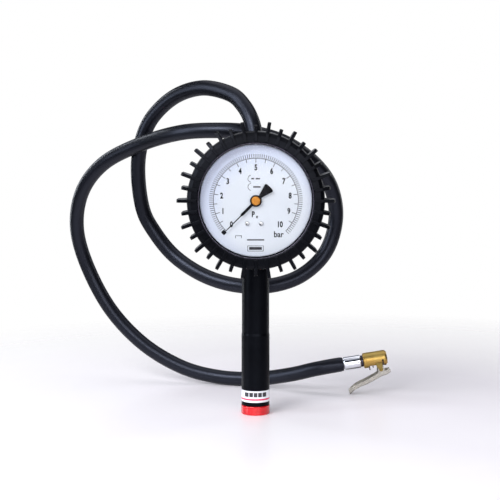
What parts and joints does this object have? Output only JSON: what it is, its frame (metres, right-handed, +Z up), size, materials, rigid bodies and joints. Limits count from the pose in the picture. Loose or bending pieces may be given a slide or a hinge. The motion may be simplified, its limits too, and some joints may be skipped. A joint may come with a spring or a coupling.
{
  "type": "tyre inflator with gauge",
  "caption": "Hand-held tyre inflator: gripped upright tube with a round dial gauge in a ribbed rubber boot, a squeeze trigger, a looped hose and a clip-on valve chuck.",
  "frame": {"origin": "on the floor, under the middle of the inflator's width and depth without its hose; the handle's axis stands 16 mm behind it", "axes": "+Z up along the handle, the gauge faces -Y, +X to the right of a person reading the gauge"},
  "size_m": [0.3075, 0.2261, 0.2893],
  "materials": {
    "red_anodised": "gloss",
    "brass": "machined",
    "sintered_bronze": "porous",
    "cast_metal": "cast",
    "black_rubber": "satin",
    "label_white": "satin film",
    "bright_steel": "bright",
    "seal_rubber": "matt",
    "black_plastic": "satin",
    "red_plastic": "gloss",
    "chrome": "polished",
    "case_steel": "satin black",
    "dark_steel": "dark",
    "clear_lens": "clear",
    "fibre": "matt",
    "movement_brass": "stamped sheet",
    "dial_white": "matt print",
    "pointer_black": "matt",
    "satin_steel": "satin plated"
  },
  "bodies": {
    "inflator": {"end_ring": "red_anodised", "inlet_bush": "brass", "inlet_filter": "sintered_bronze", "body_tube": "cast_metal", "grip_sleeve": "black_rubber", "label_band": "label_white", "valve_spring": "bright_steel", "valve_seat": "brass", "pin_seal": "seal_rubber", "gland_nut": "brass", "trigger_pin": "bright_steel", "bleed_bush": "brass", "bleed_spring": "bright_steel", "hose_nipple": "brass", "hose_ferrule": "chrome", "gauge_case": "case_steel", "blowout_plug": "seal_rubber", "bezel_ring": "dark_steel", "lens": "clear_lens", "lens_gasket": "seal_rubber", "boot": "black_rubber", "gauge_socket": "brass", "stem_gasket": "fibre", "bourdon_tube": "brass", "movement_back_plate": "movement_brass", "movement_front_plate": "movement_brass", "pillar_left": "brass", "pillar_right": "brass", "pillar_lower": "brass", "hairspring": "brass", "dial_plate": "dial_white", "dial_screw_left": "bright_steel", "dial_screw_right": "bright_steel", "hose": "black_rubber", "chuck_ferrule": "chrome", "chuck_nipple": "dark_steel", "chuck_body": "brass", "chuck_lever_pin": "bright_steel", "chuck_lever_spring": "bright_steel", "chuck_pin_spring": "bright_steel", "chuck_seal": "seal_rubber"},
    "trigger": {"trigger_lever": "black_plastic"},
    "push_pin": {"push_pin": "bright_steel"},
    "poppet": {"valve_poppet": "brass", "poppet_seal": "seal_rubber"},
    "bleed_button": {"bleed_button": "red_plastic"},
    "sector": {"sector_gear": "movement_brass", "sector_arbor": "bright_steel"},
    "pointer": {"pinion_arbor": "bright_steel", "pointer": "pointer_black", "pointer_hub": "brass"},
    "link": {"link": "brass"},
    "tube_tip": {"tube_tip": "brass"},
    "chuck_lever": {"chuck_lever": "satin_steel"},
    "chuck_pin": {"chuck_pin": "brass"}
  },
  "joints": [
    {"name": "trigger_swing", "type": "hinge", "parent": "inflator", "child": "trigger", "pos_m": [0, 0.0315, 0.148], "axis": [-1, 0, 0], "range_deg": [0, 8], "stiffness_Nm_per_rad": 0.6, "springref_deg": -8.59},
    {"name": "push_pin_slide", "type": "slide", "parent": "inflator", "child": "push_pin", "axis": [0, -1, 0], "range_m": [0, 0.0028]},
    {"name": "poppet_slide", "type": "slide", "parent": "inflator", "child": "poppet", "axis": [0, -1, 0], "range_m": [0, 0.0028], "deforming": ["valve_spring"]},
    {"name": "bleed_press", "type": "slide", "parent": "inflator", "child": "bleed_button", "axis": [0, -1, 0], "range_m": [0, 0.0018], "stiffness_N_per_m": 400, "springref_m": -0.002, "deforming": ["bleed_spring"]},
    {"name": "sector_swing", "type": "hinge", "parent": "inflator", "child": "sector", "pos_m": [0, -0.03, 0.1675], "axis": [0, -1, 0], "range_deg": [0, 30], "stiffness_Nm_per_rad": 0.01, "springref_deg": -5.73},
    {"name": "pointer_spin", "type": "hinge", "parent": "inflator", "child": "pointer", "pos_m": [0, -0.03, 0.1875], "axis": [0, 1, 0], "range_deg": [0, 270], "deforming": ["hairspring"]},
    {"name": "link_swing", "type": "hinge", "parent": "sector", "child": "link", "pos_m": [0, -0.0275, 0.1595], "axis": [0, -1, 0], "range_deg": [-30, 0]},
    {"name": "tip_travel", "type": "slide", "parent": "inflator", "child": "tube_tip", "axis": [0.9659, 0, 0.2588], "range_m": [0, 0.00415], "deforming": ["bourdon_tube"]},
    {"name": "chuck_lever_swing", "type": "hinge", "parent": "inflator", "child": "chuck_lever", "pos_m": [0.11731, 0.099, 0.02447], "axis": [0, 1, 0], "range_deg": [0, 14], "stiffness_Nm_per_rad": 0.08, "springref_deg": -28.65, "deforming": ["chuck_lever_spring"]},
    {"name": "chuck_pin_press", "type": "slide", "parent": "inflator", "child": "chuck_pin", "axis": [-0.9871, 0, -0.1599], "range_m": [0, 0.0018], "stiffness_N_per_m": 400, "springref_m": -0.002, "deforming": ["chuck_pin_spring"]}
  ],
  "couplings": [
    {"joint": "push_pin_slide", "follows": "trigger_swing", "m_per_rad": 0.02},
    {"joint": "poppet_slide", "follows": "trigger_swing", "m_per_rad": 0.02},
    {"joint": "pointer_spin", "follows": "sector_swing", "ratio": 9},
    {"joint": "link_swing", "follows": "sector_swing", "ratio": -1},
    {"joint": "tip_travel", "follows": "sector_swing", "m_per_rad": 0.0079}
  ]
}
